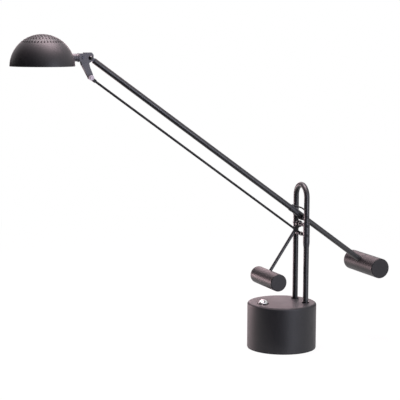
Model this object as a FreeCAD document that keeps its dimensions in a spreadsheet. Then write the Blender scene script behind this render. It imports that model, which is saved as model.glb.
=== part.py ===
import FreeCAD, Part
import math
import os
import re
import Sketcher

# Counterweight balance desk lamp, in millimetres.
# The origin is the centre of the pad under the base, +Z is up, the shade is toward -X, the tail
# weight toward +X, and every axle of the arm linkage runs along Y.

SIZES = {
    # round base
    "base_radius": 60.6,
    "base_height": 80.6,
    "base_edge": 4.0,
    "base_wall": 1.5,
    "pad_thick": 1.5,
    "pad_inset": 0.6,
    "plate_thick": 2.0,
    "plate_gap": 0.2,
    "ballast_radius": 56.0,
    "ballast_thick": 24.0,
    "post_count": 3.0,
    "post_circle": 48.0,
    "post_radius": 4.0,
    "post_gap": 0.4,
    "post_turn": 0.0,
    "plate_screw_radius": 1.5,
    "plate_screw_length": 12.0,
    "plate_screw_head": 3.0,
    "plate_screw_head_thick": 1.2,
    # what the base holds
    "driver_length": 46.0,
    "driver_width": 28.0,
    "driver_thick": 20.0,
    "driver_place": -8.0,
    "gland_radius": 6.0,
    "gland_bore": 2.8,
    "gland_height": 38.0,
    "gland_out": 5.0,
    "gland_length": 15.0,
    "gland_nut_radius": 8.0,
    "gland_nut_thick": 4.0,
    # push button on the base
    "button_place": -36.0,
    "bezel_radius": 10.2,
    "bezel_hole": 9.4,
    "bezel_bore": 8.9,
    "bezel_rim": 1.0,
    "button_radius": 8.5,
    "button_rise": 5.6,
    "button_skirt": 2.5,
    "button_stem": 2.4,
    "button_travel": 1.5,
    "switch_radius": 9.0,
    "switch_thick": 14.0,
    "switch_board_thick": 1.6,
    # hairpin stand
    "tube_radius": 4.8,
    "tube_bore": 3.3,
    "stand_place": 36.0,
    "leg_spread": 42.0,
    "arch_height": 265.6,
    "leg_tail": 14.0,
    "collar_radius": 6.7,
    "collar_thick": 2.6,
    "foot_nut_radius": 8.0,
    "foot_nut_thick": 4.0,
    "wire_port": 1.3,
    # three fixed axles
    "arm_axle_height": 232.0,
    "lever_axle_drop": 15.5,
    "rod_axle_drop": 32.0,
    "axle_radius": 1.5,
    "axle_gap": 0.05,
    "axle_head": 2.3,
    "axle_head_thick": 1.3,
    "axle_nut": 2.8,
    "axle_nut_thick": 2.2,
    "spacer_radius": 3.0,
    "collar_tube_radius": 2.1,
    "running_gap": 0.3,
    "leg_sleeve_radius": 5.8,
    "leg_sleeve_drop": 10.0,
    "leg_sleeve_length": 42.0,
    "leg_sleeve_taper": 7.0,
    "leg_sleeve_lip": 0.3,
    # main arm
    "arm_angle": 35.8,
    "arm_length": 474.0,
    "tail_length": 161.0,
    "arm_bore": 3.4,
    "arm_tube_start": 8.0,
    "plug_length": 20.0,
    "arm_eye_radius": 4.4,
    "arm_eye_thick": 4.4,
    "pivot_sleeve_radius": 5.4,
    "pivot_sleeve_front": 27.0,
    "pivot_sleeve_back": 3.5,
    "bush_radius": 2.4,
    "main_weight_radius": 17.6,
    "main_weight_length": 104.0,
    "weight_chamfer": 1.0,
    "set_screw_radius": 2.5,
    "set_screw_length": 9.0,
    "small_screw_length": 8.0,
    # small weight on its lever
    "lever_angle": 56.0,
    "lever_length": 112.0,
    "lever_plane": 9.2,
    "lever_radius": 2.8,
    "hub_radius": 6.0,
    "hub_thick": 6.6,
    "hub_neck_start": 4.0,
    "hub_neck_end": 13.0,
    "hub_neck_radius": 4.0,
    "small_weight_radius": 15.0,
    "small_weight_length": 87.0,
    # tie rod
    "rod_radius": 2.0,
    "rod_eye_radius": 3.6,
    "rod_eye_thick": 4.2,
    "rod_flat_length": 11.0,
    "rod_flat_depth": 5.4,
    "open_pivot_gap": 0.4,
    # head link
    "link_gap": 4.8,
    "link_plate": 1.6,
    "link_crown": 8.6,
    "link_crown_run": 10.6,
    "link_crown_back": 2.0,
    "link_nose": 5.0,
    "link_brow": 5.0,
    "link_chin": 3.5,
    "link_back_reach": 15.0,
    "link_back_drop": 11.0,
    "link_toe_reach": 2.2,
    "link_toe_back": 1.0,
    "link_toe_wall": 0.6,
    "link_waist": 8.6,
    "link_waist_reach": 2.6,
    "link_knee": 16.0,
    "link_knee_reach": 0.8,
    "link_shin": 26.0,
    "link_shin_reach": 3.4,
    "link_lobe_trim": 0.6,
    "link_lobe_flat": 2.4,
    "link_lobe_top": 1.9,
    "link_lobe_slope": 0.4,
    "link_web_slant": 1.15,
    "link_web_top": 12.0,
    "link_web_bottom": 24.0,
    "pin_radius": 2.0,
    "acorn_radius": 3.5,
    "acorn_rise": 3.2,
    "link_nut_radius": 3.4,
    "link_nut_thick": 2.6,
    "nylon_bush_radius": 4.2,
    "nylon_bush_length": 5.0,
    "pin_head_thick": 1.2,
    "pin_dome": 1.12,
    # knuckle and neck
    "tilt_back": 13.3,
    "tilt_rise": 0.5,
    "tilt_lobe": 5.0,
    "cheek_gap": 0.2,
    "cheek_plate": 2.0,
    "cheek_reach": 6.6,
    "cheek_start": 5.8,
    "cheek_flat": 3.0,
    "cheek_shoulder": 5.9,
    "cheek_bevel": 3.3,
    "flange_thick": 1.4,
    "flange_radius": 7.2,
    "spigot_radius": 3.2,
    "spigot_inside": 6.0,
    "tilt_screw_radius": 1.5,
    "tilt_screw_head": 2.2,
    "tilt_screw_head_thick": 1.0,
    "tilt_nut_radius": 2.9,
    "tilt_nut_thick": 2.4,
    "neck_radius": 6.3,
    "neck_bore": 3.3,
    "neck_inset": 3.0,
    "neck_seam": 0.5,
    "neck_ring": 3.4,
    "neck_nut_radius": 4.8,
    "neck_nut_thick": 3.0,
    "neck_nut_gap": 2.2,
    # shade and lamp
    "shade_radius": 52.4,
    "shade_rise": 51.2,
    "shade_wall": 0.8,
    "shade_reach": 79.5,
    "shade_drop": 13.0,
    "hole_radius": 1.6,
    "hole_rings": 7.0,
    "hole_ring_step": 5.7,
    "hole_ring_count": 6.0,
    "sink_depth": 24.0,
    "sink_thick": 2.5,
    "sink_gap": 0.1,
    "board_radius": 34.0,
    "board_thick": 1.6,
    "lens_depth": 13.0,
    "lens_thick": 2.0,
    "module_radius": 38.5,
    "module_wall": 1.5,
    "lens_lip": 1.2,
    "lens_lip_thick": 1.0,
    # leads from the arm into the front leg
    "lead_radius": 0.8,
    "upper_port_rise": 10.5,
    "lower_port_drop": 7.2,
}

doc = FreeCAD.newDocument("balance_lamp")
sheet = doc.addObject("Spreadsheet::Sheet", "Sizes")
for row, (alias, number) in enumerate(SIZES.items(), start=1):
    sheet.set(f"A{row}", alias)
    sheet.set(f"B{row}", str(number))
    sheet.setAlias(f"B{row}", alias)
doc.recompute()

PARTS = []
UPRIGHT = FreeCAD.Rotation()
ALONG_X = FreeCAD.Rotation(FreeCAD.Vector(0, 1, 0), 90)
ALONG_Y = FreeCAD.Rotation(FreeCAD.Vector(1, 0, 0), -90)
EPSILON = 1e-4

# Guide points of the leads. On the arm each is a reach, a side and a height over the sleeve, and at
# the leg it is measured from the port that the lead enters. A bend takes this share of a run.
BEND_SHARE = 0.45
UPPER_LEAD_ON_ARM = [(24.0, 0.0, 0.9), (19.0, -1.2, 2.0), (12.0, -5.0, 5.0)]
UPPER_LEAD_AT_LEG = [(-2.5, 5.5, 3.2), (0.0, 1.6, 0.6), (0.0, 0.0, 0.0)]
LOWER_LEAD_ON_ARM = [(4.0, -2.0, 0.9), (0.5, -4.5, 1.6)]
LOWER_LEAD_AT_LEG = [(-0.6, 5.0, 1.4), (0.0, 1.6, 0.2), (0.0, 0.0, 0.0)]


def size(formula):
    """The number a formula of sheet sizes gives."""
    return float(sheet.evalExpression(formula))


def bind(thing, **formulas):
    """Bind properties of an object to formulas of sheet sizes."""
    for name, formula in formulas.items():
        thing.setExpression(name, linked(formula))
    return thing


def linked(formula):
    """A formula with each size written as a cell of the sheet."""
    return re.sub(r"[a-z]\w+", lambda word: cell(word.group()), formula)


def cell(word):
    return f"Sizes.{word}" if word in SIZES else word


def spot(x=0.0, y=0.0, z=0.0):
    return FreeCAD.Vector(x, y, z)


def cylinder(name, radius, length, at, turn=UPRIGHT):
    """A cylinder from the point at, along the turned Z axis."""
    solid = bind(doc.addObject("Part::Cylinder", name), Radius=radius, Height=length)
    solid.Placement = FreeCAD.Placement(at, turn)
    return solid


def across(name, radius, length, at):
    """A cylinder along Y, centred on the point at."""
    start = at - spot(y=size(length) / 2)
    return cylinder(name, radius, length, start, ALONG_Y)


def box(name, length, width, height, at, turn=UPRIGHT):
    """A box whose least corner is the point at."""
    solid = bind(doc.addObject("Part::Box", name), Length=length, Width=width, Height=height)
    solid.Placement = FreeCAD.Placement(at, turn)
    return solid


def group(name, pieces):
    """Several pieces as one object."""
    if len(pieces) == 1:
        return pieces[0]
    whole = doc.addObject("Part::Compound", name)
    whole.Links = pieces
    return whole


def fuse(name, pieces):
    whole = doc.addObject("Part::MultiFuse", name)
    whole.Shapes = pieces
    whole.Refine = True
    return whole


def cut(name, base, tools):
    """The base less every tool."""
    less = doc.addObject("Part::Cut", name)
    less.Base = base
    less.Tool = tools[0] if len(tools) == 1 else fuse(f"{name}_tools", tools)
    less.Refine = True
    return less


def common(name, pieces):
    shared = doc.addObject("Part::MultiCommon", name)
    shared.Shapes = pieces
    shared.Refine = True
    return shared


def part(label, thing):
    """Keep an object as the sub-part of this name."""
    thing.Label = label
    PARTS.append(thing)
    return thing


def new_body(name):
    return doc.addObject("PartDesign::Body", name)


def new_sketch(body, name, role):
    """A sketch on one of the body's own origin planes."""
    sketch = body.newObject("Sketcher::SketchObject", name)
    plane = next(item for item in body.Origin.OriginFeatures if item.Role == role)
    sketch.AttachmentSupport = [(plane, "")]
    sketch.MapMode = "FlatFace"
    return sketch


def pin_point(sketch, line, end, x, y):
    """Hold one end of a line at formulas of sheet sizes."""
    for kind, formula in (("DistanceX", x), ("DistanceY", y)):
        value = size(formula)
        number = sketch.addConstraint(Sketcher.Constraint(kind, -1, 1, line, end, value))
        sketch.setExpression(f"Constraints[{number}]", linked(formula))


def outline(sketch, corners):
    """A closed outline through corners, each a pair of formulas."""
    points = [spot(size(x), size(y)) for x, y in corners]
    lines = []
    for start, end in zip(points, points[1:] + points[:1]):
        lines.append(sketch.addGeometry(Part.LineSegment(start, end), False))
    for line, after in zip(lines, lines[1:] + lines[:1]):
        sketch.addConstraint(Sketcher.Constraint("Coincident", line, 2, after, 1))
    for line, (x, y) in zip(lines, corners):
        pin_point(sketch, line, 1, x, y)


def turned(name, corners):
    """A body turned about Z from an outline of radius and height formulas."""
    body = new_body(name)
    sketch = new_sketch(body, f"{name}_outline", "XZ_Plane")
    outline(sketch, corners)
    revolution = body.newObject("PartDesign::Revolution", f"{name}_turn")
    revolution.Profile = sketch
    revolution.ReferenceAxis = (sketch, ["V_Axis"])
    revolution.Angle = 360.0
    doc.recompute()
    return body


def plate(name, corners, thickness):
    """A flat body of an outline in XZ, padded evenly to both sides of the plane."""
    body = new_body(name)
    sketch = new_sketch(body, f"{name}_outline", "XZ_Plane")
    outline(sketch, corners)
    pad = body.newObject("PartDesign::Pad", f"{name}_pad")
    pad.Profile = sketch
    pad.Midplane = True
    bind(pad, Length=thickness)
    doc.recompute()
    return body


def dress(body, feature, edges, **formulas):
    """Round or chamfer the named edges of a body's last feature."""
    base = body.Tip
    trim = body.newObject(f"PartDesign::{feature}", f"{body.Name}_{feature.lower()}")
    trim.Base = (base, edges)
    bind(trim, **formulas)
    doc.recompute()
    return trim


def round_edges(body, height, radius):
    """Names of the circular edges of this radius at this height."""
    names = []
    for number, edge in enumerate(body.Shape.Edges, start=1):
        ring = isinstance(edge.Curve, Part.Circle)
        if ring and abs(edge.Curve.Radius - radius) < EPSILON and abs(edge.Curve.Center.z - height) < EPSILON:
            names.append(f"Edge{number}")
    return names


# ---------------------------------------------------------------- places of the main points

BASE_TOP = size("base_height")
SHELL_CEILING = size("base_height - base_wall")
PLATE_TOP = size("pad_thick + plate_thick")
STAND_X = size("stand_place")
LEG_Y = size("leg_spread / 2")
ARM_AXLE = spot(STAND_X, 0, size("arm_axle_height"))
LEVER_AXLE = ARM_AXLE - spot(z=size("lever_axle_drop"))
ROD_AXLE = ARM_AXLE - spot(z=size("rod_axle_drop"))

ARM_TURN = FreeCAD.Rotation(spot(0, 1, 0), size("arm_angle")) * FreeCAD.Rotation(spot(0, 0, 1), 180)
LEVER_TURN = FreeCAD.Rotation(spot(0, 1, 0), -size("lever_angle")) * FreeCAD.Rotation(spot(0, 0, 1), 180)


def on_arm(reach, side=0.0, rise=0.0):
    """A point given along the arm from its axle, across it and above it."""
    return ARM_AXLE + ARM_TURN.multVec(spot(reach, -side, rise))


def on_lever(reach):
    """A point along the lever from its axle."""
    return LEVER_AXLE + spot(y=size("lever_plane")) + LEVER_TURN.multVec(spot(reach))


HEAD_PIVOT = on_arm(size("arm_length"))
ROD_PIVOT = HEAD_PIVOT - spot(z=size("rod_axle_drop"))
TILT_PIVOT = HEAD_PIVOT + spot(-size("tilt_back"), 0, size("tilt_rise"))
RIM_CENTRE = HEAD_PIVOT - spot(size("shade_reach"), 0, size("shade_drop"))
SHADE_CENTRE = RIM_CENTRE + spot(z=size("shade_rise - shade_radius"))


# ---------------------------------------------------------------- base

def post_spots(height):
    """Points of the posts round the base, at this height."""
    count = int(size("post_count"))
    turns = [size("post_turn") + 360.0 * number / count for number in range(count)]
    reach = size("post_circle")
    return [
        spot(reach * math.cos(math.radians(turn)), reach * math.sin(math.radians(turn)), height)
        for turn in turns
    ]


def base_shell():
    """Pressed steel cover with a rounded upper edge, open below."""
    body = turned("shell_form", [
        ("0", "base_height"),
        ("base_radius", "base_height"),
        ("base_radius", "pad_thick"),
        ("base_radius - base_wall", "pad_thick"),
        ("base_radius - base_wall", "base_height - base_edge"),
        ("base_radius - base_edge", "base_height - base_wall"),
        ("0", "base_height - base_wall"),
    ])
    dress(body, "Fillet", round_edges(body, BASE_TOP, size("base_radius")), Radius="base_edge")
    below = SHELL_CEILING - 1
    holes = [
        cylinder(f"leg_hole_{side:+d}", "tube_radius + axle_gap", "base_wall + 2",
                 spot(STAND_X, side * LEG_Y, below))
        for side in (-1, 1)
    ]
    holes.append(cylinder("button_hole", "bezel_hole + axle_gap", "base_wall + 2",
                          spot(size("button_place"), 0, below)))
    holes.append(cylinder("gland_hole", "gland_radius + axle_gap", "base_wall * 4",
                          spot(0, size("base_radius - base_wall * 3"), size("gland_height")), ALONG_Y))
    part("base_shell", cut("shell_cut", body, holes))


def base_inside():
    """Cover plate, ballast, posts, screws and the soft pad under them."""
    foot = spot(z=size("pad_thick"))
    disc = cylinder("plate_disc", "base_radius - base_wall - plate_gap", "plate_thick", foot)
    counterbores = [
        cylinder(f"counterbore_{number}", "plate_screw_head + plate_gap", "plate_screw_head_thick + plate_gap", at)
        for number, at in enumerate(post_spots(size("pad_thick")))
    ]
    clear = [
        cylinder(f"plate_hole_{number}", "plate_screw_radius + axle_gap", "plate_thick", at)
        for number, at in enumerate(post_spots(size("pad_thick")))
    ]
    part("base_plate", cut("plate_cut", disc, counterbores + clear))

    iron = cylinder("ballast_disc", "ballast_radius", "ballast_thick", spot(z=PLATE_TOP))
    wells = [
        cylinder(f"ballast_hole_{number}", "post_radius + post_gap", "ballast_thick", at)
        for number, at in enumerate(post_spots(PLATE_TOP))
    ]
    part("ballast", cut("ballast_cut", iron, wells))

    posts = []
    for number, at in enumerate(post_spots(PLATE_TOP)):
        rod = cylinder(f"post_{number}", "post_radius",
                       "base_height - base_wall - pad_thick - plate_thick", at)
        thread = cylinder(f"post_thread_{number}", "plate_screw_radius", "plate_screw_length", at)
        posts.append(cut(f"post_cut_{number}", rod, [thread]))
    part("base_posts", group("base_posts_group", posts))

    screws = []
    for number, at in enumerate(post_spots(size("pad_thick"))):
        head = cylinder(f"plate_screw_head_{number}", "plate_screw_head", "plate_screw_head_thick", at)
        shank = cylinder(f"plate_screw_shank_{number}", "plate_screw_radius", "plate_screw_length", at)
        screws.append(fuse(f"plate_screw_{number}", [head, shank]))
    part("plate_screws", group("plate_screws_group", screws))

    part("foot_pad", cylinder("pad_disc", "base_radius - pad_inset", "pad_thick", spot()))

    corner = spot(size("driver_place - driver_length / 2"), -size("driver_width / 2"),
                  PLATE_TOP + size("ballast_thick"))
    part("led_driver", box("driver_box", "driver_length", "driver_width", "driver_thick", corner))


def cord_inlet():
    """Gland through the back wall of the base, and its nut inside."""
    reach = size("base_radius + gland_out - gland_length")
    at = spot(0, reach, size("gland_height"))
    tube = cylinder("gland_tube", "gland_radius", "gland_length", at, ALONG_Y)
    bore = cylinder("gland_bore", "gland_bore", "gland_length", at, ALONG_Y)
    part("cord_gland", cut("gland_cut", tube, [bore]))
    wall = size("base_radius - base_wall")
    face = math.sqrt(wall ** 2 - size("gland_nut_radius") ** 2)
    seat = spot(0, face - size("gland_nut_thick"), size("gland_height"))
    ring = cylinder("gland_nut_ring", "gland_nut_radius", "gland_nut_thick", seat, ALONG_Y)
    hole = cylinder("gland_nut_hole", "gland_radius", "gland_nut_thick", seat, ALONG_Y)
    part("gland_nut", cut("gland_nut_cut", ring, [hole]))


def push_button():
    """Domed button in its bezel, over the switch that hangs under the cover."""
    centre = spot(size("button_place"))
    bezel = turned("bezel_form", [
        ("bezel_bore", "base_height + bezel_rim"),
        ("bezel_radius", "base_height + bezel_rim"),
        ("bezel_radius", "base_height"),
        ("bezel_hole", "base_height"),
        ("bezel_hole", "base_height - base_wall"),
        ("bezel_bore", "base_height - base_wall"),
    ])
    bezel.Placement.Base = centre
    part("button_bezel", bezel)

    rise = size("button_rise")
    radius = size("button_radius")
    ball_radius = (radius ** 2 + rise ** 2) / (2 * rise)
    ball = doc.addObject("Part::Sphere", "button_ball")
    bind(ball, Radius="(button_radius * button_radius + button_rise * button_rise) / (2 * button_rise)")
    ball.Placement.Base = centre + spot(z=size("base_height + bezel_rim") + rise - ball_radius)
    column = cylinder("button_column", "button_radius", "button_rise",
                      centre + spot(z=size("base_height + bezel_rim")))
    dome = common("button_dome", [ball, column])
    skirt = cylinder("button_skirt", "button_radius", "button_skirt",
                     centre + spot(z=size("base_height + bezel_rim - button_skirt")))
    stem_foot = SHELL_CEILING - size("switch_thick") / 2
    stem = cylinder("button_stem", "button_stem", "base_wall + bezel_rim + switch_thick / 2",
                    centre + spot(z=stem_foot))
    part("push_button", fuse("button_whole", [dome, skirt, stem]))

    floor = SHELL_CEILING - size("switch_thick")
    case = cylinder("switch_case", "switch_radius + base_wall", "switch_thick", centre + spot(z=floor))
    well_floor = stem_foot - size("button_travel + running_gap")
    well = cylinder("switch_well", "button_stem + running_gap", "switch_thick", centre + spot(z=well_floor))
    mouth = cylinder("switch_mouth", "button_radius + running_gap", "switch_thick",
                     centre + spot(z=size("base_height + bezel_rim - button_skirt - button_travel - running_gap")))
    part("switch_body", cut("switch_cut", case, [well, mouth]))
    part("switch_board", cylinder("switch_board_disc", "switch_radius", "switch_board_thick",
                                  centre + spot(z=floor - size("switch_board_thick"))))


# ---------------------------------------------------------------- hairpin stand

def hairpin_tube():
    """One tube bent into a hairpin, both ends passing through the top of the base."""
    body = new_body("hairpin_form")
    path = new_sketch(body, "hairpin_path", "YZ_Plane")
    foot = BASE_TOP - size("leg_tail")
    arch = size("arch_height")
    left = path.addGeometry(Part.LineSegment(spot(-LEG_Y, foot), spot(-LEG_Y, arch)), False)
    circle = Part.Circle(spot(0, arch), spot(0, 0, 1), LEG_Y)
    top = path.addGeometry(Part.ArcOfCircle(circle, 0, math.pi), False)
    right = path.addGeometry(Part.LineSegment(spot(LEG_Y, arch), spot(LEG_Y, foot)), False)
    path.addConstraint(Sketcher.Constraint("Coincident", left, 2, top, 2))
    path.addConstraint(Sketcher.Constraint("Coincident", top, 1, right, 1))
    pin_point(path, left, 1, "-leg_spread / 2", "base_height - leg_tail")
    pin_point(path, left, 2, "-leg_spread / 2", "arch_height")
    pin_point(path, right, 1, "leg_spread / 2", "arch_height")
    pin_point(path, right, 2, "leg_spread / 2", "base_height - leg_tail")
    level = path.addConstraint(Sketcher.Constraint("DistanceY", -1, 1, top, 3, arch))
    path.setExpression(f"Constraints[{level}]", linked("arch_height"))
    section = new_sketch(body, "hairpin_section", "XY_Plane")
    section.AttachmentOffset = FreeCAD.Placement(spot(0, 0, foot), UPRIGHT)
    section.setExpression("AttachmentOffset.Base.z", linked("base_height - leg_tail"))
    for formula in ("tube_radius", "tube_bore"):
        ring = section.addGeometry(Part.Circle(spot(0, -LEG_Y), spot(0, 0, 1), size(formula)), False)
        number = section.addConstraint(Sketcher.Constraint("Radius", ring, size(formula)))
        section.setExpression(f"Constraints[{number}]", linked(formula))
        pin_point(section, ring, 3, "0", "-leg_spread / 2")
    pipe = body.newObject("PartDesign::AdditivePipe", "hairpin_pipe")
    pipe.Profile = section
    pipe.Spine = path
    doc.recompute()
    body.Placement.Base = spot(STAND_X)
    holes = [
        across(f"hairpin_hole_{number}", "axle_radius + axle_gap", "leg_spread * 2", at)
        for number, at in enumerate((ARM_AXLE, LEVER_AXLE, ROD_AXLE))
    ]
    for number, at in enumerate(lead_ports()):
        holes.append(cylinder(f"wire_port_{number}", "wire_port", "tube_radius", at, ALONG_Y.inverted()))
    part("hairpin_tube", cut("hairpin_cut", body, holes))


def lead_ports():
    """Where each lead enters the inner face of the front leg."""
    inner = -LEG_Y + size("tube_radius")
    return [ARM_AXLE + spot(0, inner, size("upper_port_rise")),
            ARM_AXLE + spot(0, inner, -size("lower_port_drop"))]


def leg_fittings():
    """Black collars on top of the base and nuts under its cover."""
    collars = []
    nuts = []
    for side in (-1, 1):
        at = spot(STAND_X, side * LEG_Y, BASE_TOP)
        ring = cylinder(f"collar_ring_{side:+d}", "collar_radius", "collar_thick", at)
        hole = cylinder(f"collar_hole_{side:+d}", "tube_radius", "collar_thick", at)
        collars.append(cut(f"collar_{side:+d}", ring, [hole]))
        under = spot(STAND_X, side * LEG_Y, SHELL_CEILING - size("foot_nut_thick"))
        hexagon = bind(doc.addObject("Part::Prism", f"foot_nut_hexagon_{side:+d}"),
                       Circumradius="foot_nut_radius", Height="foot_nut_thick")
        hexagon.Placement.Base = under
        thread = cylinder(f"foot_nut_thread_{side:+d}", "tube_radius", "foot_nut_thick", under)
        nuts.append(cut(f"foot_nut_{side:+d}", hexagon, [thread]))
    part("foot_collars", group("foot_collars_group", collars))
    part("foot_nuts", group("foot_nuts_group", nuts))


def leg_sleeve():
    """Soft sleeve over the front leg where the axles and leads pass."""
    top = "arm_axle_height - leg_sleeve_drop"
    body = turned("leg_sleeve_form", [
        ("tube_radius", top),
        ("leg_sleeve_radius", top),
        ("leg_sleeve_radius", f"{top} - leg_sleeve_length + leg_sleeve_taper"),
        ("tube_radius + leg_sleeve_lip", f"{top} - leg_sleeve_length"),
        ("tube_radius", f"{top} - leg_sleeve_length"),
    ])
    body.Placement.Base = spot(STAND_X, -LEG_Y)
    holes = [
        across("sleeve_hole_lever", "axle_radius + axle_gap", "leg_spread * 2", LEVER_AXLE),
        across("sleeve_hole_rod", "axle_radius + axle_gap", "leg_spread * 2", ROD_AXLE),
    ]
    part("leg_sleeve", cut("leg_sleeve_cut", body, holes))


AXLES = {"arm": ARM_AXLE, "lever": LEVER_AXLE, "rod": ROD_AXLE}


def front_reach(name):
    """How far the outer face lies that an axle's head bears on."""
    outer = "tube_radius" if name == "arm" else "leg_sleeve_radius"
    return LEG_Y + size(outer)


def axles():
    """Three axles through both legs, each with a low head in front and a nut behind."""
    nuts = []
    rear = LEG_Y + size("tube_radius")
    for name, at in AXLES.items():
        front = front_reach(name)
        head = cylinder(f"{name}_axle_head", "axle_head", "axle_head_thick",
                        at - spot(y=front + size("axle_head_thick")), ALONG_Y)
        pin = bind(doc.addObject("Part::Cylinder", f"{name}_axle_pin"), Radius="axle_radius")
        pin.Height = front + rear + size("axle_nut_thick")
        pin.Placement = FreeCAD.Placement(at - spot(y=front), ALONG_Y)
        part(f"{name}_axle", fuse(f"{name}_axle_whole", [head, pin]))
        seat = at + spot(y=rear)
        ring = cylinder(f"{name}_nut_ring", "axle_nut", "axle_nut_thick", seat, ALONG_Y)
        hole = cylinder(f"{name}_nut_hole", "axle_radius", "axle_nut_thick", seat, ALONG_Y)
        nuts.append(cut(f"{name}_nut", ring, [hole]))
    part("axle_nuts", group("axle_nuts_group", nuts))


def spacer_pair(label, at, radius, front_leg, front, back):
    """Two spacers on an axle, from each leg to the faces of the piece between them."""
    pieces = []
    gap = size("running_gap")
    rear_leg = LEG_Y - size("tube_radius")
    for side, start, end in (("front", -front_leg, front - gap), ("rear", back + gap, rear_leg)):
        ring = bind(doc.addObject("Part::Cylinder", f"{label}_{side}_ring"), Radius=radius)
        hole = bind(doc.addObject("Part::Cylinder", f"{label}_{side}_hole"), Radius="axle_radius")
        for solid in (ring, hole):
            solid.Height = end - start
            solid.Placement = FreeCAD.Placement(at + spot(y=start), ALONG_Y)
        pieces.append(cut(f"{label}_{side}", ring, [hole]))
    part(label, group(f"{label}_group", pieces))


def spacers():
    """Thin steel spacers on the arm's axle, and nylon ones on the other two."""
    bare = LEG_Y - size("tube_radius")
    covered = LEG_Y - size("leg_sleeve_radius")
    sleeve = size("pivot_sleeve_radius")
    spacer_pair("arm_axle_spacers", ARM_AXLE, "collar_tube_radius", bare, -sleeve, sleeve)
    hub_front = size("lever_plane - hub_thick / 2")
    hub_back = size("lever_plane + hub_thick / 2")
    spacer_pair("lever_axle_spacers", LEVER_AXLE, "spacer_radius", covered, hub_front, hub_back)
    eye = size("rod_eye_thick / 2")
    spacer_pair("rod_axle_spacers", ROD_AXLE, "spacer_radius", covered, -eye, eye)


# ---------------------------------------------------------------- main arm

def along_arm(name, radius, length, reach):
    """A cylinder along the arm from a distance ahead of its axle."""
    return cylinder(name, radius, length, on_arm(reach), ARM_TURN * ALONG_X)


def arm_tube():
    """The long tube from the head fitting to the middle of the tail weight."""
    length = "arm_length - arm_tube_start + tail_length"
    outer = along_arm("arm_outer", "tube_radius", length, -size("tail_length"))
    inner = along_arm("arm_inner", "arm_bore", length, -size("tail_length"))
    hole = across("arm_axle_hole", "bush_radius", "tube_radius * 3", ARM_AXLE)
    part("arm_tube", cut("arm_tube_cut", outer, [inner, hole]))


def pivot_sleeve():
    """Thick sleeve on the arm at its axle, with the bush that turns on the axle."""
    length = "pivot_sleeve_front + pivot_sleeve_back"
    outer = along_arm("pivot_outer", "pivot_sleeve_radius", length, -size("pivot_sleeve_back"))
    inner = along_arm("pivot_inner", "tube_radius", length, -size("pivot_sleeve_back"))
    hole = across("pivot_hole", "bush_radius", "pivot_sleeve_radius * 3", ARM_AXLE)
    part("pivot_sleeve", cut("pivot_sleeve_cut", outer, [inner, hole]))
    ring = across("arm_bush_ring", "bush_radius", "pivot_sleeve_radius * 2", ARM_AXLE)
    bore = across("arm_bush_bore", "axle_radius + axle_gap", "pivot_sleeve_radius * 2", ARM_AXLE)
    part("arm_bush", cut("arm_bush_cut", ring, [bore]))


def head_fitting():
    """Flat eye plugged into the upper end of the arm."""
    start = "arm_length - arm_tube_start - plug_length"
    plug = along_arm("fitting_plug", "arm_bore", "plug_length", size(start))
    eye = across("fitting_eye", "arm_eye_radius", "arm_eye_thick", HEAD_PIVOT)
    neck = box("fitting_neck", "arm_tube_start", "arm_eye_thick", "arm_bore * 2",
               on_arm(size("arm_length - arm_tube_start"), size("arm_eye_thick / 2"), -size("arm_bore")),
               ARM_TURN)
    whole = fuse("fitting_whole", [plug, eye, neck])
    hole = across("fitting_hole", "pin_radius + axle_gap", "arm_eye_thick * 2", HEAD_PIVOT)
    part("arm_head_fitting", cut("fitting_cut", whole, [hole]))


def turned_weight(name, radius, length, middle):
    """A plain steel cylinder along Y with broken edges."""
    body = turned(f"{name}_form", [
        ("0", f"-{length} / 2"),
        (f"{radius} - weight_chamfer", f"-{length} / 2"),
        (radius, f"-{length} / 2 + weight_chamfer"),
        (radius, f"{length} / 2 - weight_chamfer"),
        (f"{radius} - weight_chamfer", f"{length} / 2"),
        ("0", f"{length} / 2"),
    ])
    body.Placement = FreeCAD.Placement(middle, ALONG_Y)
    return body


def main_counterweight():
    """Tail weight, bored from the side for the arm and held by a set screw."""
    middle = on_arm(-size("tail_length"))
    body = turned_weight("main_weight", "main_weight_radius", "main_weight_length", middle)
    bore = along_arm("main_weight_bore", "tube_radius", "main_weight_radius * 2", -size("tail_length"))
    away = ARM_TURN * ALONG_X.inverted()
    screw_start = on_arm(-size("tail_length + main_weight_radius - set_screw_length"))
    thread = cylinder("main_weight_thread", "set_screw_radius", "main_weight_radius", screw_start, away)
    part("main_counterweight", cut("main_weight_cut", body, [bore, thread]))
    part("main_weight_screw", cylinder("main_screw", "set_screw_radius", "set_screw_length",
                                       screw_start, away))


# ---------------------------------------------------------------- lever of the small weight

def along_lever(name, radius, length, reach):
    """A cylinder along the lever from a distance past its axle."""
    return cylinder(name, radius, length, on_lever(reach), LEVER_TURN * ALONG_X)


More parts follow.
